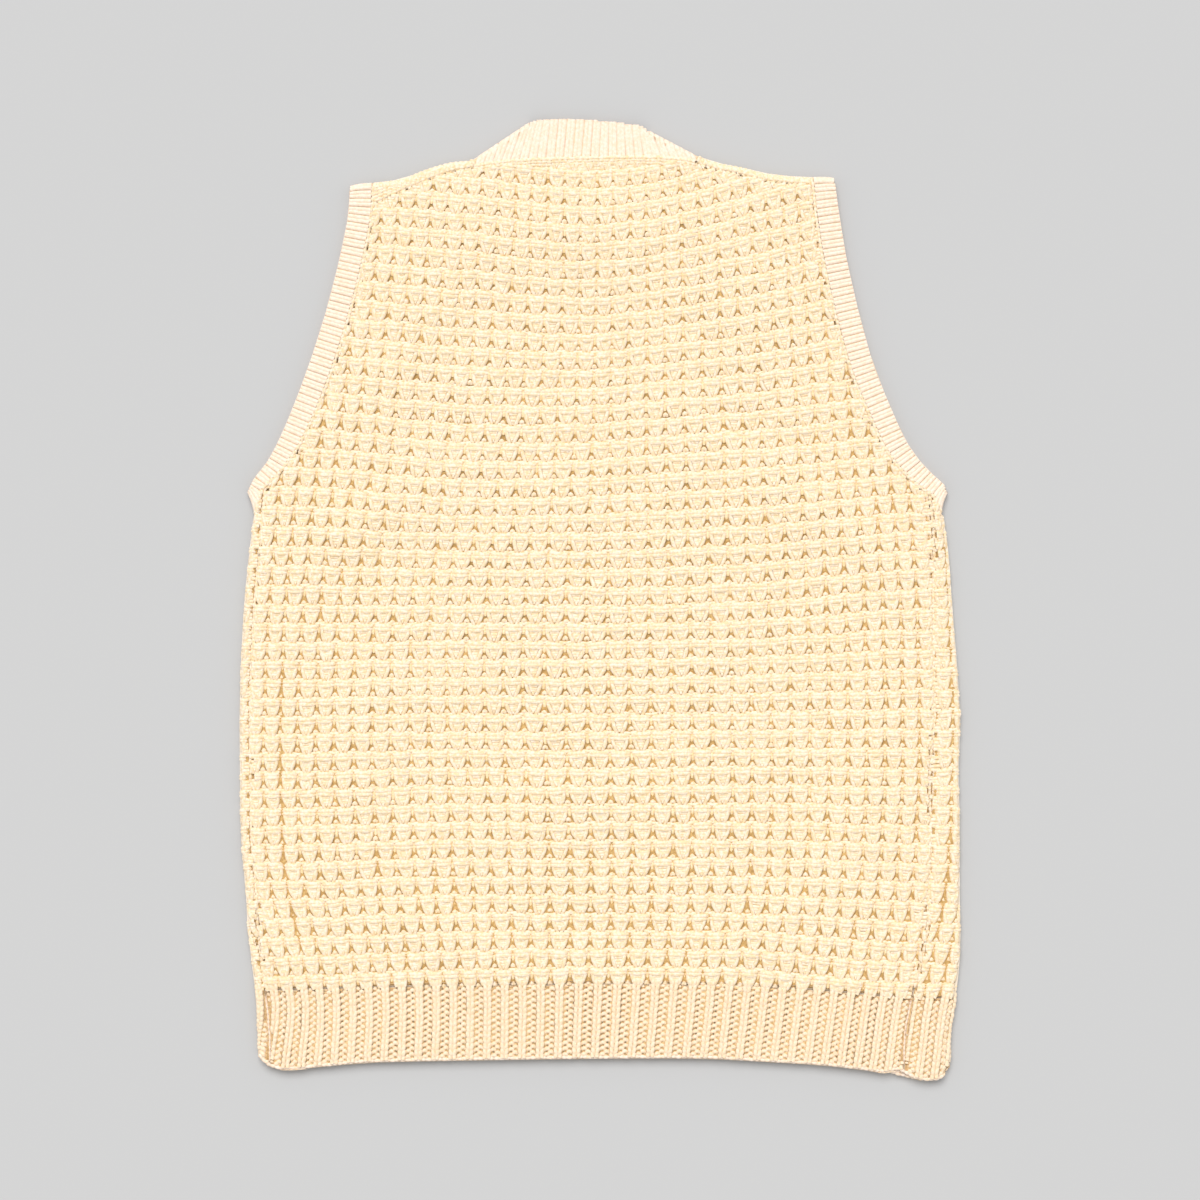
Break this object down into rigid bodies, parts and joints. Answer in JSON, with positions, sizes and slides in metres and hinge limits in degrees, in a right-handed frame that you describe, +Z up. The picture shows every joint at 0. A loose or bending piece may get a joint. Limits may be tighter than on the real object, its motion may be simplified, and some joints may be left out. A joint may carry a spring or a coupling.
{
  "type": "sweater vest",
  "caption": "Waffle-knit sweater vest laid flat with its back uppermost, with a ribbed hem, ribbed armhole bands and a folded ribbed neckband.",
  "frame": {"origin": "middle of the vest's outline, on the surface that it lies on", "axes": "+Z up out of the back of the vest, +Y toward the neck, +X toward the right of the picture"},
  "size_m": [0.4982, 0.6644, 0.0099],
  "materials": {
    "waffle_knit": "matt cream knit",
    "rib_knit": "matt cream rib"
  },
  "bodies": {
    "root": {"back_panel": "waffle_knit", "front_panel": "waffle_knit", "back_hem_rib": "rib_knit", "front_hem_rib": "rib_knit", "left_armhole_band": "rib_knit", "right_armhole_band": "rib_knit", "neckband": "rib_knit"}
  },
  "joints": []
}
